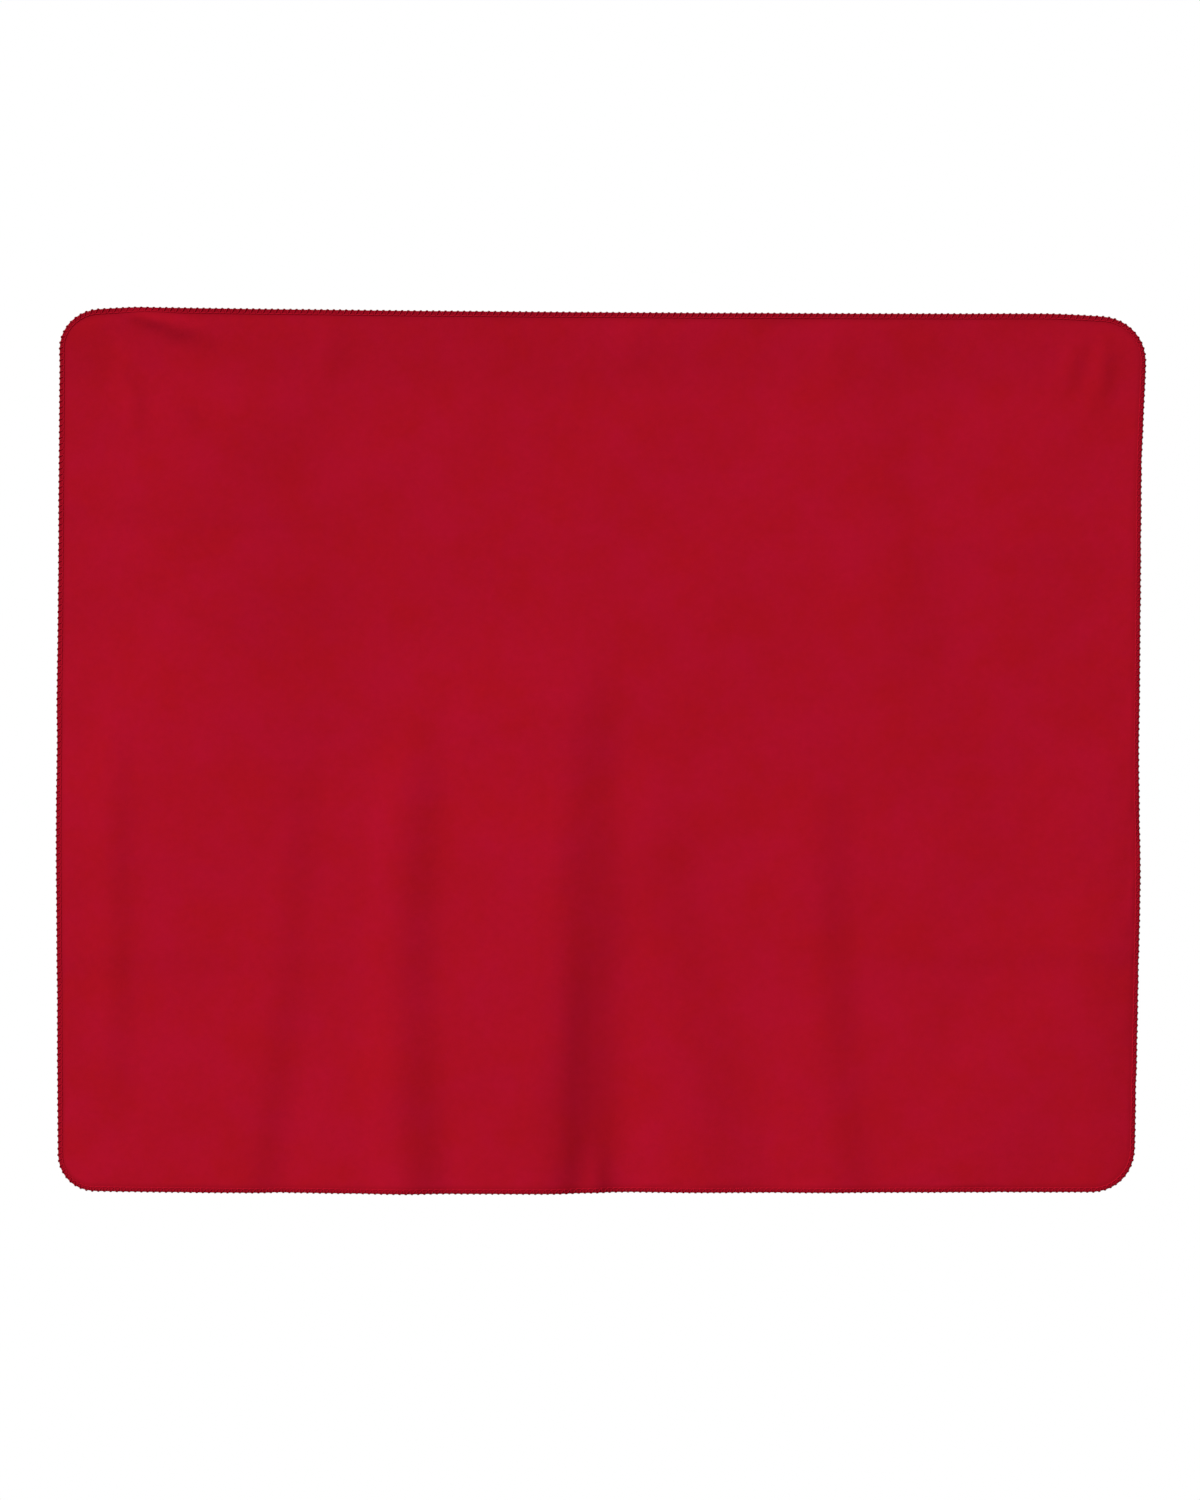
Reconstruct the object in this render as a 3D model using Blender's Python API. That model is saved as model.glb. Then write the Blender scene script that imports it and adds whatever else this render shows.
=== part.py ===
"""A wool fire blanket, hung by its top edge, with an overlocked edge all round.

The cloth is drawn first as the flat pattern it was cut to, in two coordinates:
across, from the middle to the right, and down, from the top edge to the hem.
Each point of the pattern is then hung: the top edge is held nearly straight, the cloth
below it falls back a little to its flat upper part, and upright folds grow out of that
towards the hem.

Metres, +Z up. The front faces -Y, and the origin is the middle of the top edge.
"""

import math
from collections import namedtuple

import bmesh
import bpy
from mathutils import Vector

# The cut of the cloth
WIDTH = 2.000
DROP = 1.620
CLOTH_THICKNESS = 0.003
# The stitches squeeze the cut edge thinner.
EDGE_THICKNESS = 0.0024
# The corners are rounded by hand, so each has its own radius.
TOP_LEFT_RADIUS = 0.072
TOP_RIGHT_RADIUS = 0.082
BOTTOM_LEFT_RADIUS = 0.068
BOTTOM_RIGHT_RADIUS = 0.080

# The overlocked edge
THREAD_THICKNESS = 0.0018
STITCH_BITE = 0.009
GAP = 0.0003
# The cloth is cut this far inside the outer edge, where the threads wrap round it.
EDGE_INSET = THREAD_THICKNESS + GAP
# The squeezed border, from the outer edge to where the cloth has its full thickness.
BORDER = 0.014

# How it hangs
# The top edge stands forward of the flat upper part, which begins TOP_LEAN_REACH below it.
# The slope between them is steepest at the top: a power of 1 would make it straight.
TOP_LEAN = 0.019
TOP_LEAN_REACH = 0.150
TOP_LEAN_POWER = 1.5
# Towards the sides, the top edge rises and the hem is lifted.
TOP_SAG = 0.005
HEM_BELLY = 0.0035
# From here to the hem, the cloth falls back and its sides are drawn in.
LOWER_PART = 0.600
HEM_BACK = 0.034
DRAWN_IN_LEFT = 0.012
DRAWN_IN_RIGHT = 0.005
# The right edge is drawn in below its corner, and let out again about half way down.
# WAIST_FROM is how far across this begins. The others are where down it comes and goes.
WAIST = 0.006
WAIST_FROM = 0.700
WAIST_COMES = (0.080, 0.300)
WAIST_GOES = (0.800, 1.050)
# The lower right edge curls back, fully below the second of these places.
EDGE_CURL = 0.009
EDGE_CURL_REACH = 0.110
EDGE_CURL_COMES = (0.700, 1.200)
# Each top corner droops: how far, and how far from the middle that starts.
LEFT_DROOP = (0.008, 0.840)
RIGHT_DROOP = (0.008, 0.800)
DROOP_REACH = 0.250

# The mesh
COLUMNS = 46
ROWS = 15
CORNER_CELLS = 3
NEEDLE_THREAD_SIDES = 6
SLOPE_STEP = 0.002
SHARP_ANGLE = math.radians(35)

# Each fold is a ridge: a gentle rise on its left, then a steeper fall into a valley.
# valley: where the valley meets the hem. lean: how far to the right of that it starts.
# bow: how far its middle swings to the right.
# start, end: how far down it begins, and where it begins to die out.
# first, narrow: its height and its width where it begins, as shares of those at the hem.
# rise, fall: the widths of its two slopes at the hem. height: of the ridge at the hem.
# left: the share of its height that the ridge loses again on its left.
Fold = namedtuple("Fold", "valley lean bow start end first narrow rise left fall height")
PAST_HEM = 9.0
FOLDS = (
    Fold(0.064, -0.012, 0.000, 0.55, PAST_HEM, 0.20, 0.55, 0.750, 0.30, 0.200, 0.0460),
    Fold(-0.262, 0.006, -0.024, 0.68, PAST_HEM, 0.45, 0.80, 0.075, 0.30, 0.108, 0.0210),
    Fold(-0.568, 0.078, 0.008, 0.74, PAST_HEM, 0.55, 0.90, 0.110, 0.15, 0.088, 0.0100),
    Fold(0.530, -0.045, -0.020, 0.78, PAST_HEM, 0.70, 0.90, 0.120, 0.35, 0.095, 0.0100),
    Fold(-0.850, 0.000, 0.000, 0.70, 1.25, 0.90, 1.00, 0.040, 0.35, 0.055, 0.0065),
    Fold(0.345, -0.180, 0.000, 0.82, PAST_HEM, 0.60, 0.80, 0.120, 0.05, 0.165, 0.0120),
    Fold(0.900, 0.000, 0.000, 1.20, PAST_HEM, 0.30, 0.80, 0.120, 0.05, 0.220, 0.0080),
    Fold(-0.400, -0.060, 0.000, 0.02, 0.70, 0.60, 0.80, 0.420, 1.00, 0.310, 0.0160),
    Fold(0.800, -0.240, 0.000, 0.00, 0.45, 0.90, 0.90, 0.260, 1.00, 0.130, 0.0060),
)
# A ridge rises to its first height, and dies out again, within these lengths.
FIRST_LENGTH = 0.22
FADE_LENGTH = 0.35


def linear_colour(hex_code):
    """The linear RGBA value of an sRGB hex colour."""
    channels = [int(hex_code[i : i + 2], 16) / 255 for i in (1, 3, 5)]
    return tuple(c / 12.92 if c <= 0.04045 else ((c + 0.055) / 1.055) ** 2.4 for c in channels) + (1.0,)


def make_material(name, hex_code, roughness):
    material = bpy.data.materials.new(name)
    material.use_nodes = True
    shader = material.node_tree.nodes["Principled BSDF"]
    shader.inputs["Base Color"].default_value = linear_colour(hex_code)
    shader.inputs["Roughness"].default_value = roughness
    shader.inputs["Metallic"].default_value = 0.0
    material.diffuse_color = linear_colour(hex_code)
    return material


def clear_scene():
    for old in list(bpy.data.objects):
        bpy.data.objects.remove(old, do_unlink=True)


# The flat pattern


def corner_of(across, down):
    """The rounded corner of this quarter of the pattern: (centre, direction out, radius)."""
    right = across > 0
    low = down > DROP / 2
    if low:
        radius = BOTTOM_RIGHT_RADIUS if right else BOTTOM_LEFT_RADIUS
    else:
        radius = TOP_RIGHT_RADIUS if right else TOP_LEFT_RADIUS
    side = 1.0 if right else -1.0
    centre = Vector((side * (WIDTH / 2 - radius), DROP - radius if low else radius))
    return centre, Vector((side, 1.0 if low else -1.0)), radius


def rounded(across, down, inset):
    """Moves a point of a square-cornered grid, inset from the edge, into the rounded pattern."""
    centre, out, radius = corner_of(across, down)
    reach = radius - inset
    a = (across - centre.x) * out.x / reach
    b = (down - centre.y) * out.y / reach
    if a <= 0 or b <= 0:
        return Vector((across, down))
    x = a * math.sqrt(1 - b * b / 2)
    y = b * math.sqrt(1 - a * a / 2)
    return centre + Vector((out.x * x, out.y * y)) * reach


def way_out(point, inset):
    """The direction out of the cloth from a point of the line that runs inset from its edge."""
    centre, out, radius = corner_of(point.x, point.y)
    past = Vector(((point.x - centre.x) * out.x, (point.y - centre.y) * out.y))
    if past.x > 0 and past.y > 0:
        return (point - centre).normalized()
    side_distance = WIDTH / 2 - inset - abs(point.x)
    end_distance = DROP / 2 - inset - abs(point.y - DROP / 2)
    return Vector((out.x, 0)) if side_distance < end_distance else Vector((0, out.y))


# The hang


def ramp(value, begin, end):
    """Goes smoothly from 0 at begin to 1 at end."""
    t = min(1.0, max(0.0, (value - begin) / (end - begin)))
    return t * t * (3 - 2 * t)


def fold_height(fold, across, down):
    """How far this ridge stands out in front of the flat cloth here."""
    part = max(0.0, (down - fold.start) / (DROP - fold.start))
    size = fold.narrow + (1 - fold.narrow) * part
    valley = fold.valley + fold.lean * (1 - part) + fold.bow * math.sin(math.pi * part)
    offset = across - (valley - fold.fall * size)
    reach = size * (fold.fall if offset > 0 else fold.rise)
    loss = 0.5 * (1 - math.cos(math.pi * min(1.0, abs(offset) / reach)))
    if offset < 0:
        loss *= fold.left
    growth = fold.first + (1 - fold.first) * part
    begins = ramp(down, fold.start, fold.start + FIRST_LENGTH)
    stays = 1 - ramp(down, fold.end, fold.end + FADE_LENGTH)
    return fold.height * growth * begins * stays * (1 - loss)


def how_low(down):
    """0 down to the start of the lower part, and 1 at the hem."""
    return max(0.0, (down - LOWER_PART) / (DROP - LOWER_PART))


def forward_of(across, down):
    """How far a point of the pattern stands in front of the top edge."""
    ridges = sum(fold_height(fold, across, down) for fold in FOLDS)
    lean = TOP_LEAN * (1 - max(0.0, 1 - down / TOP_LEAN_REACH) ** TOP_LEAN_POWER)
    near_right = max(0.0, (across - WIDTH / 2) / EDGE_CURL_REACH + 1)
    curl = EDGE_CURL * near_right**2 * ramp(down, *EDGE_CURL_COMES)
    return ridges - lean - HEM_BACK * how_low(down) ** 2 - curl


def hung(point):
    """Where a point of the pattern is, midway through the cloth, when the blanket hangs."""
    across, down = point
    if across > 0:
        drawn_in = DRAWN_IN_RIGHT * how_low(down) ** 2
    else:
        drawn_in = DRAWN_IN_LEFT * ramp(how_low(down), 0, 1)
    waist = ramp(down, *WAIST_COMES) - ramp(down, *WAIST_GOES)
    x = across * (1 - drawn_in) - WAIST * ramp(across, WAIST_FROM, WIDTH / 2) * waist
    droop, droop_from = RIGHT_DROOP if across > 0 else LEFT_DROOP
    outward = ramp(abs(across), droop_from, WIDTH / 2)
    side = (2 * across / WIDTH) ** 2
    lift = TOP_SAG * side * (1 - down / DROP) + HEM_BELLY * side * down / DROP
    z = -down + lift - droop * outward * (1 - ramp(down, 0, DROOP_REACH))
    return Vector((x, -forward_of(across, down), z))


def front_normal(point):
    """The direction out of the front of the cloth."""
    step_across = Vector((SLOPE_STEP, 0))
    step_down = Vector((0, SLOPE_STEP))
    across = hung(point + step_across) - hung(point - step_across)
    down = hung(point + step_down) - hung(point - step_down)
    return down.cross(across).normalized()


def in_cloth(point, offset):
    """The point this far in front of the middle of the cloth, or behind it if negative."""
    return hung(point) + front_normal(point) * offset


def half_thickness(distance):
    """Half the cloth's thickness, this far in from the outer edge of the blanket."""
    part = (distance - EDGE_INSET) / (BORDER - EDGE_INSET)
    return (EDGE_THICKNESS + (CLOTH_THICKNESS - EDGE_THICKNESS) * part) / 2


# The grid that covers the cloth inside its border


def grid_lines(low, high, corner, cells):
    """Places along one side: CORNER_CELLS short cells at each end, and cells longer ones between."""
    short = [corner * i / CORNER_CELLS for i in range(CORNER_CELLS)]
    length = high - low - 2 * corner
    between = [low + corner + length * i / cells for i in range(cells + 1)]
    return [low + s for s in short] + between + [high - s for s in reversed(short)]


def inner_grid():
    """Rows of pattern points, from the top, that fill the cloth inside its border."""
    largest = max(TOP_LEFT_RADIUS, TOP_RIGHT_RADIUS, BOTTOM_LEFT_RADIUS, BOTTOM_RIGHT_RADIUS)
    corner = largest - BORDER
    columns = grid_lines(-WIDTH / 2 + BORDER, WIDTH / 2 - BORDER, corner, COLUMNS)
    rows = grid_lines(BORDER, DROP - BORDER, corner, ROWS)
    return [[rounded(across, down, BORDER) for across in columns] for down in rows]


def around(grid):
    """The outer points of a grid, once round: along the top, down the right, and back."""
    top = grid[0]
    right = [row[-1] for row in grid[1:]]
    bottom = list(reversed(grid[-1][:-1]))
    left = [row[0] for row in reversed(grid[1:-1])]
    return list(top) + right + bottom + left


def make_object(name, mesh_data, material):
    mesh = bpy.data.meshes.new(name)
    bmesh.ops.recalc_face_normals(mesh_data, faces=mesh_data.faces)
    mesh_data.to_mesh(mesh)
    mesh_data.free()
    mesh.materials.append(material)
    mesh.shade_smooth()
    mesh.set_sharp_from_angle(angle=SHARP_ANGLE)
    made = bpy.data.objects.new(name, mesh)
    bpy.context.scene.collection.objects.link(made)
    return made


def make_cloth(grid, material):
    """The panel: a front and a back skin, joined round the cut edge."""
    mesh_data = bmesh.new()
    rims = []
    for face in (1, -1):
        inner = face * half_thickness(BORDER)
        outer = face * half_thickness(EDGE_INSET)
        skin = [[mesh_data.verts.new(in_cloth(point, inner)) for point in row] for row in grid]
        for upper, lower in zip(skin, skin[1:]):
            for i in range(len(upper) - 1):
                mesh_data.faces.new((upper[i], lower[i], lower[i + 1], upper[i + 1]))
        rim = []
        for point in around(grid):
            edge = point + way_out(point, BORDER) * (BORDER - EDGE_INSET)
            rim.append(mesh_data.verts.new(in_cloth(edge, outer)))
        join_loops(mesh_data, around(skin), rim)
        rims.append(rim)
    join_loops(mesh_data, rims[0], rims[1])
    return make_object("blanket_cloth", mesh_data, material)


def join_loops(mesh_data, first, second):
    """Closes the strip between two closed rows of points, side by side."""
    for i in range(len(first)):
        j = (i + 1) % len(first)
        mesh_data.faces.new((first[i], first[j], second[j], second[i]))


def make_edge_ring(name, section, grid, material):
    """A closed ring round the edge. section lists (distance in from the edge, offset forward)."""
    mesh_data = bmesh.new()
    loops = [[] for _ in section]
    for point in around(grid):
        out = way_out(point, BORDER)
        edge = point + out * BORDER
        for loop, (distance, offset) in zip(loops, section):
            loop.append(mesh_data.verts.new(in_cloth(edge - out * distance, offset)))
    for i in range(len(section)):
        join_loops(mesh_data, loops[i], loops[(i + 1) % len(section)])
    return make_object(name, mesh_data, material)


def looper_section():
    """Outline of the thread that lies on one face and turns over the cut edge, halfway."""
    inner_face = half_thickness(STITCH_BITE) + GAP
    outer_face = half_thickness(EDGE_INSET) + GAP
    return (
        (0.0, GAP / 2),
        (THREAD_THICKNESS, GAP / 2),
        (THREAD_THICKNESS, outer_face),
        (STITCH_BITE, inner_face),
        (STITCH_BITE, inner_face + THREAD_THICKNESS),
        (THREAD_THICKNESS / 2, outer_face + THREAD_THICKNESS),
    )


def needle_section():
    """Outline of the round thread that runs along the inner side of the stitches."""
    radius = THREAD_THICKNESS / 2
    centre = STITCH_BITE + GAP + radius
    height = half_thickness(centre + radius) + GAP + radius
    angles = [2 * math.pi * i / NEEDLE_THREAD_SIDES for i in range(NEEDLE_THREAD_SIDES)]
    return tuple((centre + radius * math.cos(a), height + radius * math.sin(a)) for a in angles)


def main():
    clear_scene()
    wool = make_material("milled_crimson_wool", "#A71025", 0.95)
    thread = make_material("crimson_wool_thread", "#8F1022", 0.85)
    grid = inner_grid()
    make_cloth(grid, wool)
    front = looper_section()
    back = tuple((distance, -offset) for distance, offset in front)
    make_edge_ring("needle_thread", needle_section(), grid, thread)
    make_edge_ring("upper_looper_thread", front, grid, thread)
    make_edge_ring("lower_looper_thread", back, grid, thread)


main()
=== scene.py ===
# %% [markdown]
# # A wool fire blanket
# This blanket is one panel of thick milled wool, cut with rounded corners and sewn
# round its edge with a three-thread overlock. It is made here in the order that a
# workshop makes it. The panel is cut flat, the yarns are sewn round it flat, and only
# then is it hung from its top edge in soft folds.

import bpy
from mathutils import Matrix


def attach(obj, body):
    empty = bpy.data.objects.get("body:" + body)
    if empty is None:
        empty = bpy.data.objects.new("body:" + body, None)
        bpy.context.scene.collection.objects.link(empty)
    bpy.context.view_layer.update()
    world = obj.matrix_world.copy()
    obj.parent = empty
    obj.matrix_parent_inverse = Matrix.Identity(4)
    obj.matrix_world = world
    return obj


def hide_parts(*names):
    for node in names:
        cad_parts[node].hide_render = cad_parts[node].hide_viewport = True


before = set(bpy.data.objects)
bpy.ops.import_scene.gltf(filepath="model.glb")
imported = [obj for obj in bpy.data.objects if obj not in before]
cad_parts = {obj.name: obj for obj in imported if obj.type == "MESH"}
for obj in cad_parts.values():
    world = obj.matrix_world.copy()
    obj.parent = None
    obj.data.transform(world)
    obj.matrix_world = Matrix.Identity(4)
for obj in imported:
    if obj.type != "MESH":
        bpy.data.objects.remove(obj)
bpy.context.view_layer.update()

# %% [markdown]
# ## Sizes
# The cut is 2.00 m by 1.62 m, the same as that of the plain solid blanket in the frame.
# The other sizes are those of the sewing: how thick the yarn is, and how far apart the
# stitches are. Each corner was rounded by hand, so each has its own radius.

# %% Name the sizes
import math
from collections import namedtuple

import bpy
import numpy as np
from mathutils import Vector, noise

WIDTH = 2.000
DROP = 1.620
# The cloth with its nap, the soft layer of fibres on both faces.
CLOTH_THICKNESS = 0.0034
# Corner radii. The key says which side (0 left, 1 right) and which end (0 top, 1 bottom).
CORNER_RADIUS = {(0, 0): 0.072, (1, 0): 0.082, (0, 1): 0.068, (1, 1): 0.080}
YARN = 0.0018
# The length of one stitch.
PITCH = 0.0114
# The cloth is cut this far inside the outer edge, because the yarns wrap round it and bite
# into the felt.
EDGE_INSET = 0.0015
MM = 0.001
print(f"blanket {WIDTH:.3f} m wide, {DROP:.3f} m long, yarn {YARN / MM:.1f} mm thick")


# %% [markdown]
# ## Cutting the panel
# A grid primitive makes a good piece of cloth, because its rows and columns run as the
# warp and the weft do. The columns and rows are moved closer together near the edge,
# where the stitches squeeze the cloth, and the square corners are bent into arcs: each
# square ring of the grid becomes a ring with round corners, so that the edge stays even.

# %% Rules for the grid
# How far in from the cut edge the close lines of the grid are, and the size of a cell
# further in.
EDGE_LINES = (0.0, 0.002, 0.005, 0.009, 0.013, 0.019, 0.028, 0.040)
CELL = 0.0195


def grid_places(length):
    """Places of the grid lines from one edge to the other: close near both edges."""
    between = round((length - 2 * EDGE_LINES[-1]) / CELL)
    middle = np.linspace(EDGE_LINES[-1], length - EDGE_LINES[-1], between + 1)
    near_edge = np.array(EDGE_LINES[:-1])
    return np.concatenate([near_edge, middle, length - near_edge[::-1]])


def corner_rule(across, down):
    """For each point: its corner's centre, direction out and radius."""
    right = (across > 0).astype(int)
    low = (down > DROP / 2).astype(int)
    radius = np.vectorize(lambda which_side, which_end: CORNER_RADIUS[(which_side, which_end)])(right, low)
    side, end = 2 * right - 1, 2 * low - 1
    centre_across = side * (WIDTH / 2 - radius)
    centre_down = DROP / 2 + end * (DROP / 2 - radius)
    return centre_across, centre_down, side, end, radius


def round_corners(across, down):
    """Bends the square rings of a grid into rings with round corners."""
    centre_across, centre_down, side, end, radius = corner_rule(across, down)
    a = (across - centre_across) * side / radius
    b = (down - centre_down) * end / radius
    inside = (a > 0) & (b > 0)
    reach = np.where(inside, np.maximum(a, b), 1)
    share = np.where(inside, np.minimum(a, b) / reach, 0)
    angle = np.where(a >= b, share * np.pi / 4, np.pi / 2 - share * np.pi / 4)
    new_across = centre_across + side * radius * reach * np.cos(angle)
    new_down = centre_down + end * radius * reach * np.sin(angle)
    return np.where(inside, new_across, across), np.where(inside, new_down, down)


corner_point = round_corners(np.array([WIDTH / 2]), np.array([0.0]))
cut_off = WIDTH / 2 - corner_point[0][0]
print(f"{len(grid_places(WIDTH))} columns, {len(grid_places(DROP))} rows")
print(f"the top right corner is rounded off by {cut_off / MM:.1f} mm across")

# %% [markdown]
# Points are read and written as whole arrays. The UV map keeps each point's place on the
# flat pattern in metres, so that the surface of the wool keeps its size when the cloth is
# hung. A second attribute keeps how far in from the edge each point is.

# %% Helpers to read and write points
def deselect_all():
    bpy.ops.object.select_all(action="DESELECT")


def read_points(piece):
    points = np.empty(len(piece.data.vertices) * 3)
    piece.data.vertices.foreach_get("co", points)
    return points.reshape(-1, 3)


def write_points(piece, points):
    piece.data.vertices.foreach_set("co", np.asarray(points).ravel())
    piece.data.update()


def points_of_corners(piece):
    """Which point each corner of each face is at."""
    corners = np.empty(len(piece.data.loops), int)
    piece.data.loops.foreach_get("vertex_index", corners)
    return corners


def write_uv(piece, coordinates):
    """Gives each corner of each face its point's own two coordinates."""
    layer = piece.data.uv_layers.active or piece.data.uv_layers.new(name="UVMap")
    layer.data.foreach_set("uv", coordinates[points_of_corners(piece)].ravel())


def read_uv(piece):
    """Each point's own two coordinates."""
    values = np.empty(len(piece.data.loops) * 2)
    piece.data.uv_layers.active.data.foreach_get("uv", values)
    coordinates = np.zeros((len(piece.data.vertices), 2))
    coordinates[points_of_corners(piece)] = values.reshape(-1, 2)
    return coordinates


def write_inset(piece, values):
    """Stores how far in from the edge each point is, in millimetres for the materials."""
    layer = piece.data.attributes.get("inset")
    layer = layer or piece.data.attributes.new("inset", "FLOAT", "POINT")
    layer.data.foreach_set("value", np.asarray(values, dtype=float) / MM)


print("helpers for points, UV maps and the distance in from the edge are ready")

# %% Cut the panel flat
columns = grid_places(WIDTH - 2 * EDGE_INSET)
rows = grid_places(DROP - 2 * EDGE_INSET)
deselect_all()
bpy.ops.mesh.primitive_grid_add(x_subdivisions=len(columns) - 1, y_subdivisions=len(rows) - 1, size=1)
cloth = bpy.context.object
cloth.name = "wool_panel"
start = read_points(cloth)
column = np.rint((start[:, 0] + 0.5) * (len(columns) - 1)).astype(int)
row = np.rint((0.5 - start[:, 1]) * (len(rows) - 1)).astype(int)
square_across = columns[column] - WIDTH / 2 + EDGE_INSET
square_down = rows[row] + EDGE_INSET
across, down = round_corners(square_across, square_down)
write_points(cloth, np.column_stack([across, np.zeros_like(across), -down]))
write_uv(cloth, np.column_stack([across, -down]))
print(f"panel of {len(columns) - 1} x {len(rows) - 1} cells")


# %% [markdown]
# ## The shape it hangs in
# The shape is a sum of simple ones, each with a cause. Upright folds start about half
# way down and deepen towards the hem. Nearly all are ridges with a gentle rise on their
# left and a steeper fall on their right. Most keep part of their height on the left, so
# that the cloth steps back from fold to fold. The last two are broad swells in the upper
# part.

# %% Describe the folds
def ramp(value, begin, end):
    """Goes smoothly from 0 at begin to 1 at end."""
    t = np.clip((value - begin) / (end - begin), 0, 1)
    return t * t * (3 - 2 * t)


# valley: where the valley meets the hem. lean, bow: how far to the right of that it
# starts, and how far its middle swings out. start, end: how far down it begins, and
# begins to die out. first, narrow: its height and its width at its start, as shares.
# rise, fall: how wide its left and right slopes are. left: how much of its height it
# loses again on its left.
Fold = namedtuple("Fold", "valley lean bow start end first narrow rise left fall height")
PAST_HEM = 9.0
FOLDS = (
    Fold(0.064, -0.012, 0.000, 0.55, PAST_HEM, 0.20, 0.55, 0.750, 0.30, 0.200, 0.0460),
    Fold(-0.262, 0.006, -0.024, 0.68, PAST_HEM, 0.45, 0.80, 0.075, 0.30, 0.108, 0.0210),
    Fold(-0.568, 0.078, 0.008, 0.74, PAST_HEM, 0.55, 0.90, 0.110, 0.15, 0.088, 0.0100),
    Fold(0.530, -0.045, -0.020, 0.78, PAST_HEM, 0.70, 0.90, 0.120, 0.35, 0.095, 0.0100),
    Fold(-0.850, 0.000, 0.000, 0.70, 1.25, 0.90, 1.00, 0.040, 0.35, 0.055, 0.0065),
    Fold(0.345, -0.180, 0.000, 0.82, PAST_HEM, 0.60, 0.80, 0.120, 0.05, 0.165, 0.0120),
    Fold(0.900, 0.000, 0.000, 1.20, PAST_HEM, 0.30, 0.80, 0.120, 0.05, 0.220, 0.0080),
    Fold(0.024, 0.000, 0.000, 1.44, PAST_HEM, 0.10, 0.60, 0.028, 1.00, 0.030, 0.0110),
    Fold(-0.030, 0.010, 0.000, 1.05, PAST_HEM, 0.30, 0.80, 0.060, 0.60, 0.036, 0.0045),
    Fold(-0.400, -0.060, 0.000, 0.02, 0.70, 0.60, 0.80, 0.420, 1.00, 0.310, 0.0160),
    Fold(0.800, -0.240, 0.000, 0.00, 0.45, 0.90, 0.90, 0.260, 1.00, 0.130, 0.0060),
)
# A ridge rises to its first height, and dies out again, within these lengths.
FIRST_LENGTH = 0.22
FADE_LENGTH = 0.35


def fold_height(across, down, fold):
    """How far this ridge stands out in front of the flat cloth."""
    part = np.clip((down - fold.start) / (DROP - fold.start), 0, 1)
    size = fold.narrow + (1 - fold.narrow) * part
    valley = fold.valley + fold.lean * (1 - part) + fold.bow * np.sin(np.pi * part)
    offset = across - (valley - fold.fall * size)
    reach = size * np.where(offset > 0, fold.fall, fold.rise)
    loss = 0.5 * (1 - np.cos(np.pi * np.clip(offset / reach, -1, 1)))
    bump = 1 - loss * np.where(offset > 0, 1, fold.left)
    growth = fold.first + (1 - fold.first) * part
    begins = ramp(down, fold.start, fold.start + FIRST_LENGTH)
    stays = 1 - ramp(down, fold.end, fold.end + FADE_LENGTH)
    return fold.height * growth * begins * stays * bump


for fold in FOLDS:
    print(f"fold {fold.valley:+.3f} m across, {fold.height / MM:.0f} mm deep, from {fold.start:.2f} m down")

# %% [markdown]
# The clips pull the cloth into short straight ridges near the top corners and, more
# faintly, along the top edge, and one long faint ridge runs in from the left edge. Each
# goes from one point of the pattern to another and is highest at its middle. The blanket
# is stored folded, and its creases are left as faint ridges that are steeper below. Slow
# dents of two sizes lie all over, as in any felted cloth.

# %% Describe the pulled ridges, the creases and the dents
# Each pulled ridge: from (across, down) to (across, down), half its width, its height.
PULLS = (
    ((-0.885, 0.004), (-0.705, 0.062), 0.022, 0.0145),
    ((-0.905, 0.055), (-0.730, 0.225), 0.020, 0.0125),
    ((-0.885, 0.080), (-0.850, 0.240), 0.022, 0.0060),
    ((0.925, 0.030), (0.905, 0.190), 0.020, 0.0070),
    ((0.880, 0.030), (0.845, 0.150), 0.022, 0.0050),
    ((-0.950, 0.400), (-0.560, 0.660), 0.045, 0.0050),
    ((-0.500, 0.005), (-0.510, 0.160), 0.040, 0.0025),
    ((0.050, 0.005), (0.060, 0.110), 0.050, 0.0030),
    ((0.420, 0.005), (0.430, 0.170), 0.040, 0.0020),
)
# Each crease: how far down it is on the left and on the right, its height, and how far
# from the middle it begins to show.
CREASES = ((0.360, 0.435, 0.0020, 0.35), (1.188, 1.165, 0.0028, 0.35))
CREASE_ABOVE = 0.110
CREASE_BELOW = 0.045
CREASE_FADE = 0.35
# Each size of dent: its height, and how far apart the dents are. The noise is a solid
# block, and the cloth takes the slice at this height.
DENTS = ((0.0032, 0.190), (0.0009, 0.080))
DENTS_SLICE = 0.7


def pull_height(across, down, begin, finish, half_width, height):
    """A short straight ridge, highest at its middle."""
    begin, finish = np.array(begin), np.array(finish)
    way = finish - begin
    length = np.linalg.norm(way)
    way = way / length
    along = ((across - begin[0]) * way[0] + (down - begin[1]) * way[1]) / length
    beside = (across - begin[0]) * way[1] - (down - begin[1]) * way[0]
    profile = 0.5 * (1 + np.cos(np.pi * np.clip(beside / half_width, -1, 1)))
    return height * profile * np.sin(np.pi * np.clip(along, 0, 1))


def crease_height(across, down, left, right, height, shows_from):
    """A storage crease: gentle above and steep below, clearest towards the sides."""
    offset = down - (left + (right - left) * (across / WIDTH + 0.5))
    reach = np.where(offset > 0, CREASE_BELOW, CREASE_ABOVE)
    profile = 0.5 * (1 + np.cos(np.pi * np.clip(offset / reach, -1, 1)))
    return height * profile * ramp(np.abs(across), shows_from, shows_from + CREASE_FADE)


def dent_height(across, down, height, size):
    """Slow dents of this size all over, from smooth noise that is the same every time."""
    points = np.column_stack([across, down, np.full_like(across, DENTS_SLICE)]) / size
    return height * np.array([noise.noise(Vector(p)) for p in points])


print(f"{len(PULLS)} pulled ridges, {len(CREASES)} creases, dents of {len(DENTS)} sizes")

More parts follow.
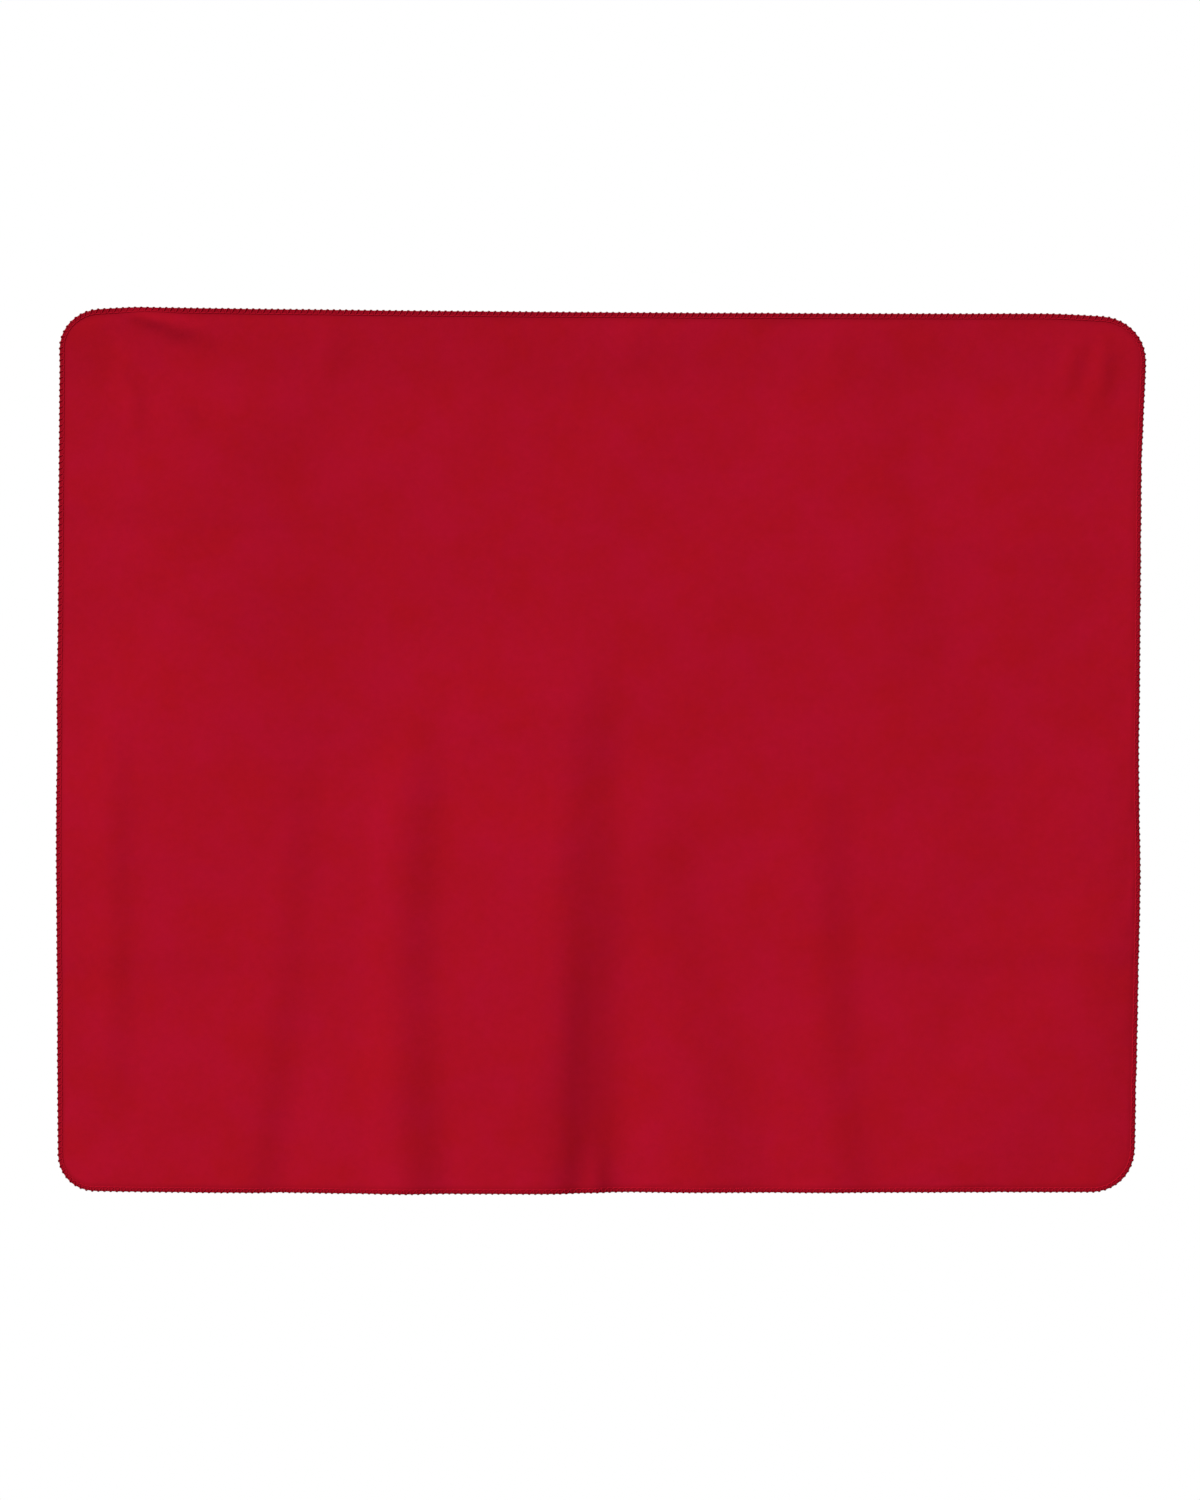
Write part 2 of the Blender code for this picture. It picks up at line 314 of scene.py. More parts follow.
# %% [markdown]
# All of it together gives the hang. The origin is the middle of the top edge, which the
# clips hold a little in front of the flat upper part. Both top corners droop outside the
# last clips, the right edge is drawn in down to half way and curls back lower down, and
# towards the hem the cloth falls back and its sides are drawn in.

# %% Add the shapes up
# The top edge stands forward of the flat upper part, which begins TOP_LEAN_REACH below it.
# The slope between them is steepest at the top: a power of 1 would make it straight.
TOP_LEAN = 0.019
TOP_LEAN_REACH = 0.150
TOP_LEAN_POWER = 1.5
# Towards the sides, the top edge rises and the hem is lifted.
TOP_SAG = 0.005
HEM_BELLY = 0.0035
# From here to the hem, the cloth falls back and its sides are drawn in.
LOWER_PART = 0.600
HEM_BACK = 0.034
DRAWN_IN_LEFT = 0.012
DRAWN_IN_RIGHT = 0.005
# The lower right edge curls back, fully below the second of these places.
EDGE_CURL = 0.009
EDGE_CURL_REACH = 0.110
EDGE_CURL_COMES = (0.700, 1.200)
# The right edge is drawn in below its corner, and let out again about half way down.
# WAIST_FROM is how far across this begins. The others are where down it comes and goes.
WAIST = 0.006
WAIST_FROM = 0.700
WAIST_COMES = (0.080, 0.300)
WAIST_GOES = (0.800, 1.050)
# Each top corner droops: how far, and where across that starts and ends.
CORNER_DROOPS = ((0.008, -0.84, -1.0), (0.008, 0.80, 1.0))
DROOP_REACH = 0.250


def how_low(down):
    """0 down to the start of the lower part, and 1 at the hem."""
    return np.clip((down - LOWER_PART) / (DROP - LOWER_PART), 0, 1)


def forward_of(across, down):
    """How far each point of the pattern stands in front of the flat upper part."""
    forward = sum(fold_height(across, down, fold) for fold in FOLDS)
    forward += sum(pull_height(across, down, *pull) for pull in PULLS)
    forward += sum(crease_height(across, down, *crease) for crease in CREASES)
    forward += sum(dent_height(across, down, *dents) for dents in DENTS)
    forward += TOP_LEAN * np.clip(1 - down / TOP_LEAN_REACH, 0, 1) ** TOP_LEAN_POWER
    near_right = np.clip((across - WIDTH / 2) / EDGE_CURL_REACH + 1, 0, 1) ** 2
    forward -= EDGE_CURL * near_right * ramp(down, *EDGE_CURL_COMES)
    return forward - HEM_BACK * how_low(down) ** 2


def hang(across, down):
    """Where each point of the flat pattern is when the blanket hangs."""
    low = how_low(down)
    drawn_in = np.where(across > 0, DRAWN_IN_RIGHT * low**2, DRAWN_IN_LEFT * ramp(low, 0, 1))
    waist = ramp(down, *WAIST_COMES) - ramp(down, *WAIST_GOES)
    x = across * (1 - drawn_in) - WAIST * ramp(across, WAIST_FROM, WIDTH / 2) * waist
    side = (2 * across / WIDTH) ** 2
    z = -down + TOP_SAG * side * (1 - down / DROP) + HEM_BELLY * side * down / DROP
    for droop, starts, corner in CORNER_DROOPS:
        z -= droop * ramp(across, starts, corner) * (1 - ramp(down, 0, DROOP_REACH))
    return np.column_stack([x, TOP_LEAN - forward_of(across, down), z])


drawn = hang(across, down)
deep, high = drawn[:, 1].max() - drawn[:, 1].min(), -drawn[:, 2].min()
print(f"hung shape {np.ptp(drawn[:, 0]):.3f} m wide, {high:.3f} m high, {deep / MM:.0f} mm deep")


# %% [markdown]
# ## Sewing the edge
# A three-thread overlock is a needle yarn that runs along the front, and two looper
# yarns that zigzag over the front and the back and lock together over the cut edge. One
# stitch of each yarn is modelled once as a small tube, repeated by an Array modifier all
# the way round, and then bent round the outline. Each tube is a grid rolled up, so that
# its UV map runs along the yarn and round it, which the twist of the yarn needs. A real
# stitch's yarn is one with the next, and here it tapers and ends inside the knot.

# %% A tool that rolls one stitch of yarn
SIDES = 6
# How thick both ends of a stitch are, as a share of the yarn.
END_TAPER = 0.45
# Where the yarn runs straight forward to within this sine, its sides are found another way.
NEARLY_FORWARD = 0.2
# The grid's two long edges meet when it is rolled, and points this close become one.
WELD = 0.01 * MM


def roll_yarn(name, route, diameter):
    """A closed tube along a route of (along, in from the edge, forward), in millimetres."""
    centres = np.array(route) * MM
    steps = np.linalg.norm(np.diff(centres, axis=0), axis=1)
    lengths = np.concatenate([[0], np.cumsum(steps)])
    deselect_all()
    bpy.ops.mesh.primitive_grid_add(x_subdivisions=len(route) - 1, y_subdivisions=SIDES, size=1)
    yarn = bpy.context.object
    yarn.name = name
    flat = read_points(yarn)
    along = np.rint((flat[:, 0] + 0.5) * (len(route) - 1)).astype(int)
    turn = np.rint((flat[:, 1] + 0.5) * SIDES) / SIDES
    tangents = np.gradient(centres, axis=0)
    tangents /= np.linalg.norm(tangents, axis=1)[:, None]
    side_ways = np.cross(tangents, (0.0, 0.0, 1.0))
    forward_run = np.linalg.norm(side_ways, axis=1) < NEARLY_FORWARD
    side_ways[forward_run] = np.cross(tangents[forward_run], (0.0, 1.0, 0.0))
    side_ways /= np.linalg.norm(side_ways, axis=1)[:, None]
    up_ways = np.cross(side_ways, tangents)
    radius = np.full(len(route), diameter / 2)
    radius[[0, -1]] *= END_TAPER
    angle = 2 * np.pi * turn[:, None]
    spoke = np.cos(angle) * side_ways[along] + np.sin(angle) * up_ways[along]
    write_points(yarn, centres[along] + spoke * radius[along][:, None])
    write_uv(yarn, np.column_stack([lengths[along], turn]))
    bpy.ops.object.mode_set(mode="EDIT")
    bpy.ops.mesh.select_all(action="SELECT")
    bpy.ops.mesh.remove_doubles(threshold=WELD)
    bpy.ops.mesh.select_all(action="DESELECT")
    bpy.ops.mesh.select_non_manifold(extend=False)
    bpy.ops.mesh.edge_face_add()
    bpy.ops.mesh.select_all(action="SELECT")
    bpy.ops.mesh.normals_make_consistent(inside=False)
    bpy.ops.object.mode_set(mode="OBJECT")
    return yarn


print(f"yarn is rolled with {SIDES} sides")

# %% [markdown]
# The routes below are in millimetres: along the edge, in from the edge, and forward from
# the middle of the cloth. A looper yarn climbs out of its knot on the cut edge, slants in
# to the needle's hole and slants back to the next knot. The needle yarn lies along the
# front, goes through the cloth and catches the back looper. The back looper's stitches lie
# a little further along than the front one's.

# %% Draw the routes
LOOPER_ROUTE = (
    (-1.5, 1.4, -0.9),
    (-0.6, 0.9, 0.5),
    (1.0, 1.8, 1.8),
    (4.7, 8.2, 1.8),
    (5.7, 9.6, 1.2),
    (6.7, 8.2, 1.8),
    (10.4, 1.8, 1.8),
    (12.0, 0.9, 0.5),
    (12.9, 1.4, -0.9),
)
NEEDLE_ROUTE = (
    (-5.6, 9.7, 0.2),
    (-4.9, 9.6, 1.4),
    (-2.5, 9.5, 1.7),
    (2.5, 9.5, 1.7),
    (4.9, 9.6, 1.4),
    (5.6, 9.7, -0.4),
    (5.3, 8.7, -2.4),
    (6.1, 8.7, -2.5),
    (6.0, 9.6, -1.0),
)
BACK_SHIFT = 1.1
BACK_ROUTE = tuple((along + BACK_SHIFT, inward, -forward) for along, inward, forward in LOOPER_ROUTE)
print(f"looper stitch of {len(LOOPER_ROUTE)} points, needle stitch of {len(NEEDLE_ROUTE)}")


# %% [markdown]
# A straight run of stitches is bent round the outline one side and one corner at a time.
# A stitch at a corner keeps its length on the outer edge, and closes up on the inside.

# %% A tool that bends a run round the outline
# Each tour of one side: the corner it leaves, the corner it reaches, the way along it and
# the way out of the blanket. Both ways are (across, down).
TOURS = (
    ((0, 0), (1, 0), (1, 0), (0, -1)),
    ((1, 0), (1, 1), (0, 1), (1, 0)),
    ((1, 1), (0, 1), (-1, 0), (0, 1)),
    ((0, 1), (0, 0), (0, -1), (-1, 0)),
)


def outline_length():
    """The length of the outer edge: four straight sides and four quarter circles."""
    radii = sum(CORNER_RADIUS.values())
    return 2 * WIDTH + 2 * DROP - 2 * radii + radii * math.pi / 2


def wrap_round(points):
    """Bends (along, inward, forward) round the flat outline, clockwise from the top left."""
    along, inward, forward = points.T
    along = along % outline_length()
    flat_across, flat_down = np.zeros_like(along), np.zeros_like(along)
    out_across, out_down = np.zeros_like(along), np.zeros_like(along)
    travelled = 0.0
    for begin, finish, way, out in TOURS:
        begin_radius, end_radius = CORNER_RADIUS[begin], CORNER_RADIUS[finish]
        side = WIDTH if way[0] else DROP
        straight = side - begin_radius - end_radius
        corner = np.array([(begin[0] - 0.5) * WIDTH, begin[1] * DROP])
        first = corner + np.array(way) * begin_radius
        part = (along >= travelled) & (along < travelled + straight)
        run = along - travelled
        flat_across[part] = first[0] + way[0] * run[part]
        flat_down[part] = first[1] + way[1] * run[part]
        out_across[part], out_down[part] = out
        travelled += straight
        arc = end_radius * math.pi / 2
        part = (along >= travelled) & (along <= travelled + arc)
        angle = (along - travelled) / end_radius
        last = first + np.array(way) * straight
        centre = last - np.array(out) * end_radius
        for values, outs, axis in ((flat_across, out_across, 0), (flat_down, out_down, 1)):
            direction = out[axis] * np.cos(angle[part]) + way[axis] * np.sin(angle[part])
            outs[part] = direction
            values[part] = centre[axis] + end_radius * direction
        travelled += arc
    across = flat_across - out_across * inward
    down = flat_down - out_down * inward
    return np.column_stack([across, -forward, -down])


print(f"the outline is {outline_length():.3f} m long")

# %% [markdown]
# The stitches are spread so that a whole number of them closes the ring.

# %% Sew all round
stitches = round(outline_length() / PITCH)
pitch = outline_length() / stitches
print(f"{stitches} stitches, {pitch / MM:.2f} mm apart")


def sew(name, route, diameter):
    """Repeats one stitch all round the flat panel."""
    route = [(along * pitch / PITCH, inward, forward) for along, inward, forward in route]
    yarn = roll_yarn(name, route, diameter)
    array = yarn.modifiers.new("stitches", "ARRAY")
    array.count = stitches
    array.use_relative_offset = False
    array.use_constant_offset = True
    array.constant_offset_displace = (pitch, 0, 0)
    bpy.ops.object.modifier_apply(modifier=array.name)
    straight_run = read_points(yarn)
    write_inset(yarn, straight_run[:, 1])
    write_points(yarn, wrap_round(straight_run))
    bpy.ops.object.mode_set(mode="EDIT")
    bpy.ops.mesh.select_all(action="SELECT")
    bpy.ops.mesh.normals_make_consistent(inside=False)
    bpy.ops.object.mode_set(mode="OBJECT")
    bpy.ops.object.shade_smooth()
    print(f"{name}: {len(yarn.data.polygons)} faces")
    return yarn


needle_yarn = sew("needle_yarn", NEEDLE_ROUTE, YARN)
front_looper_yarn = sew("front_looper_yarn", LOOPER_ROUTE, YARN)
back_looper_yarn = sew("back_looper_yarn", BACK_ROUTE, YARN)
yarns = (needle_yarn, front_looper_yarn, back_looper_yarn)


# %% [markdown]
# ## Hanging it
# Every yarn is bound to the flat panel with a Surface Deform modifier, as sewing holds
# it. The panel then takes its hanging shape, and the yarns go with it.

# %% Subdivide the panel and bind the yarns to it
# How quickly the pull of the cloth's faces on a yarn weakens with their distance from it.
HOLD_FALLOFF = 4.0


def use(piece):
    """Makes this the one selected and active object."""
    deselect_all()
    piece.select_set(True)
    bpy.context.view_layer.objects.active = piece


def subdivide_once(piece):
    """Smooths the panel by cutting each cell into four."""
    use(piece)
    finer = piece.modifiers.new("finer", "SUBSURF")
    finer.levels = 1
    finer.render_levels = 1
    bpy.ops.object.modifier_apply(modifier=finer.name)


use(cloth)
bpy.ops.object.duplicate()
hung_cloth = bpy.context.object
hung_cloth.name = "hung_panel"
subdivide_once(cloth)
for yarn in yarns:
    use(yarn)
    hold = yarn.modifiers.new("held by the cloth", "SURFACE_DEFORM")
    hold.target = cloth
    hold.falloff = HOLD_FALLOFF
    bpy.ops.object.surfacedeform_bind(modifier=hold.name)
    print(f"{yarn.name} bound: {hold.is_bound}")

# %% [markdown]
# The shape so far is drawn, not fallen. A short cloth simulation lets gravity pull on it,
# held all along its top edge, so that the folds hang true and their ends run out as
# cloth does. The wool is milled and stiff, so the settings are far stiffer than a bed
# sheet's. The points may move only a little, which keeps the folds where they were put.

# %% Let the panel fall into place
# The clips hold the cloth down to here, and no point may move further than MOST_MOVE.
HELD_BY_CLIPS = 0.020
SETTLING_FRAMES = 30
MOST_MOVE = 0.006
# How thick milled wool behaves: heavy, damped by the air and slow to bend or to stretch.
# The mass is in kilograms at each point of the grid. The quality is the number of steps
# that the simulation takes in each frame.
MILLED_WOOL = {
    "quality": 6,
    "mass": 0.03,
    "air_damping": 4.0,
    "tension_stiffness": 80,
    "compression_stiffness": 80,
    "shear_stiffness": 40,
    "bending_stiffness": 30,
}


def settle(piece, held):
    """Lets the cloth fall while these points are held, and returns where it then is."""
    group = piece.vertex_groups.new(name="held")
    group.add([int(index) for index in held], 1.0, "REPLACE")
    use(piece)
    falling = piece.modifiers.new("falling", "CLOTH")
    for setting, value in MILLED_WOOL.items():
        setattr(falling.settings, setting, value)
    falling.settings.vertex_group_mass = group.name
    falling.collision_settings.use_self_collision = False
    falling.point_cache.frame_start = 1
    falling.point_cache.frame_end = SETTLING_FRAMES
    for moment in range(1, SETTLING_FRAMES + 1):
        bpy.context.scene.frame_set(moment)
    bpy.ops.object.modifier_apply(modifier=falling.name)
    bpy.context.scene.frame_set(1)
    return read_points(piece)


write_points(hung_cloth, drawn)
held = np.nonzero(down < HELD_BY_CLIPS)[0]
move = settle(hung_cloth, held) - drawn
# The tiny number keeps the held points, which don't move, from dividing by zero.
fallen = np.linalg.norm(move, axis=1)[:, None] + 1e-9
write_points(hung_cloth, drawn + move / fallen * MOST_MOVE * np.tanh(fallen / MOST_MOVE))
print(f"the cloth fell by {fallen.mean() / MM:.1f} mm, at most {fallen.max() / MM:.1f} mm")
print(f"the blanket hangs from {len(held)} held points")

# %% [markdown]
# The flat panel now moves to the points of the hung one, and Surface Deform carries every
# stitch along. After that the modifiers are applied, and the yarns are plain meshes.

# %% Hang the yarns with it
subdivide_once(hung_cloth)
write_points(cloth, read_points(hung_cloth))
bpy.data.objects.remove(hung_cloth)
bpy.context.view_layer.update()
for yarn in yarns:
    use(yarn)
    bpy.ops.object.modifier_apply(modifier="held by the cloth")
    print(f"{yarn.name}: {len(yarn.data.vertices)} points, hung")

# %% [markdown]
# ## Giving the cloth its thickness
# Solidify grows the panel to both sides. A vertex group tells it how thick the cloth is at
# each point: squeezed under the stitches, and thinner still at the cut edge.

# %% Thicken the cloth
# How far in from the edge, in millimetres, and what share of its thickness it has there.
SQUEEZED_AT = (2.0, 3.5, 6.0, 11.0, 16.0, 24.0)
SQUEEZED_TO = (0.45, 0.68, 0.74, 0.74, 0.95, 1.0)


def inset_of(across, down):
    """How far in from the outer edge of the blanket each point of the pattern is."""
    centre_across, centre_down, side, end, radius = corner_rule(across, down)
    a = (across - centre_across) * side
    b = (down - centre_down) * end
    at_corner = radius - np.hypot(a, b)
    straight = np.minimum(radius - a, radius - b)
    return np.where((a > 0) & (b > 0), at_corner, straight)


pattern = read_uv(cloth)
inset = inset_of(pattern[:, 0], -pattern[:, 1])
write_inset(cloth, inset)
thickness_share = np.interp(inset / MM, SQUEEZED_AT, SQUEEZED_TO)
group = cloth.vertex_groups.new(name="thickness")
for index, share in enumerate(thickness_share):
    group.add([index], float(share), "REPLACE")
use(cloth)
thicken = cloth.modifiers.new("thickness", "SOLIDIFY")
thicken.thickness = CLOTH_THICKNESS
thicken.offset = 0.0
thicken.vertex_group = group.name
bpy.ops.object.modifier_apply(modifier=thicken.name)
bpy.ops.object.shade_smooth()
print(f"cloth: {len(cloth.data.polygons)} faces")


# %% [markdown]
# ## Colours and nodes
# Colours are written as the sRGB hex values that a dye card shows, and one function turns
# them to linear. One more function adds a node with its settings and links.

# %% Helpers for materials
def linear(hex_code):
    """The linear RGBA value of an sRGB hex colour."""
    channels = [int(hex_code[i : i + 2], 16) / 255 for i in (1, 3, 5)]
    return tuple(c / 12.92 if c <= 0.04045 else ((c + 0.055) / 1.055) ** 2.4 for c in channels) + (1.0,)


def add_node(tree, kind, inputs=None, **settings):
    """Adds a node, sets its options, and sets or links its inputs."""
    node = tree.nodes.new(kind)
    for name, value in settings.items():
        setattr(node, name, value)
    for name, value in (inputs or {}).items():
        if isinstance(value, bpy.types.NodeSocket):
            tree.links.new(value, node.inputs[name])
        else:
            node.inputs[name].default_value = value
    return node


def add_mix(tree, share, first, second):
    """The colour between two colours, by this share."""
    mix = add_node(tree, "ShaderNodeMix", data_type="RGBA", inputs={0: share, 6: first, 7: second})
    return mix.outputs[2]


def new_material(name):
    """A material with an empty node tree."""
    material = bpy.data.materials.new(name)
    material.use_nodes = True
    material.node_tree.nodes.clear()
    return material, material.node_tree


def finish_material(tree, shader):
    """Sends the shader to the surface."""
    add_node(tree, "ShaderNodeOutputMaterial", {"Surface": shader.outputs[0]})


print("crimson in linear light:", [round(c, 3) for c in linear("#B11226")])


# %% [markdown]
# ## Milled wool
# Fire blankets are woven from wool and then milled: washed and beaten until the fibres
# felt together and hide the weave. So there is no thread pattern here. Two noises give the
# tufts of fibre and the slow changes in how dense the felt is. Both change the tone a
# little, and the tufts give a low relief. A third noise is the uneven dye. Wool is dull:
# it has almost no highlight, only a faint sheen where its fibres stand up at the turn of
# a fold.

# %% Make the wool cloth
# Two bits of the same red cloth, one dyed a little bluer, each from its dark to its light.
WOOL_WARM = (linear("#A51020"), linear("#B01222"))
WOOL_COOL = (linear("#A81028"), linear("#B3122B"))
# Painted shade for the wool under and beside the stitches.
WOOL_SEAM_SHADE = linear("#9D0F21")
WOOL_SHEEN = linear("#C0182E")
# Wool fibres are 0.02 mm thick and felt into tufts half a millimetre across. The tufts are
# drawn coarser here so that they show. These three sizes are in millimetres.
TUFT = 0.9
CLUMP = 14.0
DYE_PATCH = 120.0
# How much of the tone comes from the tufts, and the rest from the clumps.
TUFT_SHARE = 0.6
# In millimetres in from the edge: where the painted shade beside the stitches begins, and where it is
# darkest.
SEAM_SHADE_BEGINS = 20.0
SEAM_SHADE_FULL = 5.0


def milled_wool():
    """Soft dull crimson: it gives the eye short felted fibres and no weave."""
    material, tree = new_material("crimson milled wool cloth")
    uv = add_node(tree, "ShaderNodeUVMap", uv_map="UVMap").outputs["UV"]
    to_millimetres = {"Vector": uv, "Scale": (1 / MM, 1 / MM, 1 / MM)}
    place = add_node(tree, "ShaderNodeMapping", to_millimetres).outputs[0]
    tuft = {"Vector": place, "Scale": 1 / TUFT, "Detail": 5.0, "Roughness": 0.7, "Distortion": 1.2}
    tufts = add_node(tree, "ShaderNodeTexNoise", tuft).outputs[0]
    # The fulling mill leaves the felt in clumps, a little denser and thinner by turns.
    clump = {"Vector": place, "Scale": 1 / CLUMP, "Detail": 3.0, "Roughness": 0.6}
    clumps = add_node(tree, "ShaderNodeTexNoise", clump).outputs[0]
    shares = {0: TUFT_SHARE, 2: clumps, 3: tufts}
    both = add_node(tree, "ShaderNodeMix", shares, data_type="FLOAT").outputs[0]
    contrast = {"Value": both, "From Min": 0.3, "From Max": 0.7}
    tone = add_node(tree, "ShaderNodeMapRange", contrast).outputs[0]
    # The dye takes a little unevenly, so the red is warmer and bluer over a hand's breadth.
    patch = {"Vector": place, "Scale": 1 / DYE_PATCH, "Detail": 4.0, "Roughness": 0.65}
    patches = add_node(tree, "ShaderNodeTexNoise", patch).outputs[0]
    spread = {"Value": patches, "From Min": 0.36, "From Max": 0.64}
    dye = add_node(tree, "ShaderNodeMapRange", spread).outputs[0]
    open_cloth = add_mix(tree, dye, add_mix(tree, tone, *WOOL_WARM), add_mix(tree, tone, *WOOL_COOL))
    # Painted shade darkens the wool under and beside the stitches, where their shade falls.
    inset = add_node(tree, "ShaderNodeAttribute", attribute_name="inset").outputs["Fac"]
    near_edge = {"Value": inset, "From Min": SEAM_SHADE_BEGINS, "From Max": SEAM_SHADE_FULL}
    seam_shade = add_node(tree, "ShaderNodeMapRange", near_edge, interpolation_type="SMOOTHSTEP").outputs[0]
    colour = add_mix(tree, seam_shade, open_cloth, WOOL_SEAM_SHADE)
    relief = {"Strength": 0.6, "Distance": 0.0007, "Height": tufts}
    surface = {
        "Base Color": colour,
        "Roughness": 0.95,
        "Specular IOR Level": 0.05,
        "Specular Tint": WOOL_SHEEN,
        "Sheen Weight": 0.08,
        "Sheen Roughness": 0.5,
        "Sheen Tint": WOOL_SHEEN,
        "Normal": add_node(tree, "ShaderNodeBump", relief).outputs[0],
    }
    finish_material(tree, add_node(tree, "ShaderNodeBsdfPrincipled", surface))
    return material


wool = milled_wool()
cloth.data.materials.append(wool)
print(f"{wool.name}: {len(wool.node_tree.nodes)} nodes")


# %% [markdown]
# ## Edging yarn
# The edge is sewn in wool yarn of the same dye lot: two plies twisted together. The twist
# shows as a groove that runs round the yarn, and painted shade makes the groove dark. The
# knots on the cut edge are pulled tight and lie in each other's shade, which is painted
# into the yarn's colour, so the yarn is darkest there.

# %% Make the yarn
# The knot colour and both groove colours hold painted shade, darker than the dye of the ply.
YARN_KNOT_SHADE = linear("#900D1E")
YARN_PLY = linear("#BE142B")
YARN_KNOT_GROOVE_SHADE = linear("#6A0917")
YARN_GROOVE_SHADE = linear("#A01023")
# One turn of the two plies takes this much yarn.
TWIST = 5 * MM
# In millimetres in from the edge: where the knots end, and from where the yarn has no painted shade of the
# knots.
KNOT_ENDS = 1.5
PALE_FROM = 8.0


def spun_yarn():
    """Hard-twisted crimson yarn: it gives the eye two plies with painted shade in the groove between."""
    material, tree = new_material("crimson two-ply wool yarn")
    uv = add_node(tree, "ShaderNodeUVMap", uv_map="UVMap").outputs["UV"]
    parts = add_node(tree, "ShaderNodeSeparateXYZ", {0: uv})
    to_turns = {0: parts.outputs[0], 1: 1 / TWIST}
    turns = add_node(tree, "ShaderNodeMath", to_turns, operation="MULTIPLY").outputs[0]
    two_plies = {0: parts.outputs[1], 1: 2.0, 2: turns}
    plies = add_node(tree, "ShaderNodeMath", two_plies, operation="MULTIPLY_ADD").outputs[0]
    wave = add_node(tree, "ShaderNodeMath", {0: plies, 1: 0.5}, operation="PINGPONG").outputs[0]
    raised = add_node(tree, "ShaderNodeMapRange", {"Value": wave, "From Max": 0.25}).outputs[0]
    inset = add_node(tree, "ShaderNodeAttribute", attribute_name="inset").outputs["Fac"]
    away_from_knots = {"Value": inset, "From Min": KNOT_ENDS, "From Max": PALE_FROM}
    inner = add_node(tree, "ShaderNodeMapRange", away_from_knots).outputs[0]
    ply = add_mix(tree, inner, YARN_KNOT_SHADE, YARN_PLY)
    groove_shade = add_mix(tree, inner, YARN_KNOT_GROOVE_SHADE, YARN_GROOVE_SHADE)
    relief = {"Strength": 0.5, "Distance": 0.0003, "Height": raised}
    surface = {
        "Base Color": add_mix(tree, raised, groove_shade, ply),
        "Roughness": 0.9,
        "Specular IOR Level": 0.05,
        "Specular Tint": YARN_PLY,
        "Normal": add_node(tree, "ShaderNodeBump", relief).outputs[0],
    }
    finish_material(tree, add_node(tree, "ShaderNodeBsdfPrincipled", surface))
    return material


yarn_finish = spun_yarn()
for yarn in yarns:
    yarn.data.materials.append(yarn_finish)
print(f"{yarn_finish.name}: {len(yarn_finish.node_tree.nodes)} nodes")

# %% [markdown]
# ## Telling the frame what each piece is
# The blanket is one body, so every piece rides on root. Each stands in for one solid of
# the frame.

for piece in (cloth, *yarns):
    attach(piece, "root")
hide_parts("blanket_cloth")
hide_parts("needle_thread")
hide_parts("upper_looper_thread")
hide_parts("lower_looper_thread")


# %% [markdown]
# ## Light
# One large soft light from the left and from above draws the folds: their right sides
# fall into shade. White walls fill the shade a little. A weaker light from behind is there
# for anyone who walks round the blanket, and it doesn't reach the front.

# %% Light the blanket
def make_sun(name, towards, strength, softness):
    """A sun whose light travels along this direction."""
    lamp = bpy.data.lights.new(name, "SUN")
    lamp.energy = strength
    lamp.angle = math.radians(softness)
    placed = bpy.data.objects.new(name, lamp)
    placed.rotation_mode = "QUATERNION"
    placed.rotation_quaternion = Vector(towards).to_track_quat("-Z", "Y")
    bpy.context.scene.collection.objects.link(placed)
    print(f"{name}: strength {strength}, along {[round(v, 2) for v in towards]}")


# Strengths are in watts per square metre, and softness is the sun's angle in degrees.
KEY_FROM_LEFT = math.radians(32)
KEY_FROM_ABOVE = math.radians(28)
KEY_STRENGTH = 3.40
KEY_SOFTNESS = 30
BACK_WAY = (-0.3, -1.0, 0.0)
BACK_STRENGTH = 1.6
BACK_SOFTNESS = 10
level = math.cos(KEY_FROM_ABOVE)
key_way = (math.sin(KEY_FROM_LEFT) * level, math.cos(KEY_FROM_LEFT) * level, -math.sin(KEY_FROM_ABOVE))
make_sun("soft_key", key_way, KEY_STRENGTH, KEY_SOFTNESS)
make_sun("soft_back", BACK_WAY, BACK_STRENGTH, BACK_SOFTNESS)

# %% [markdown]
# The walls of the studio are white to look at, but they are far away and send back only
# an eighth of their light.

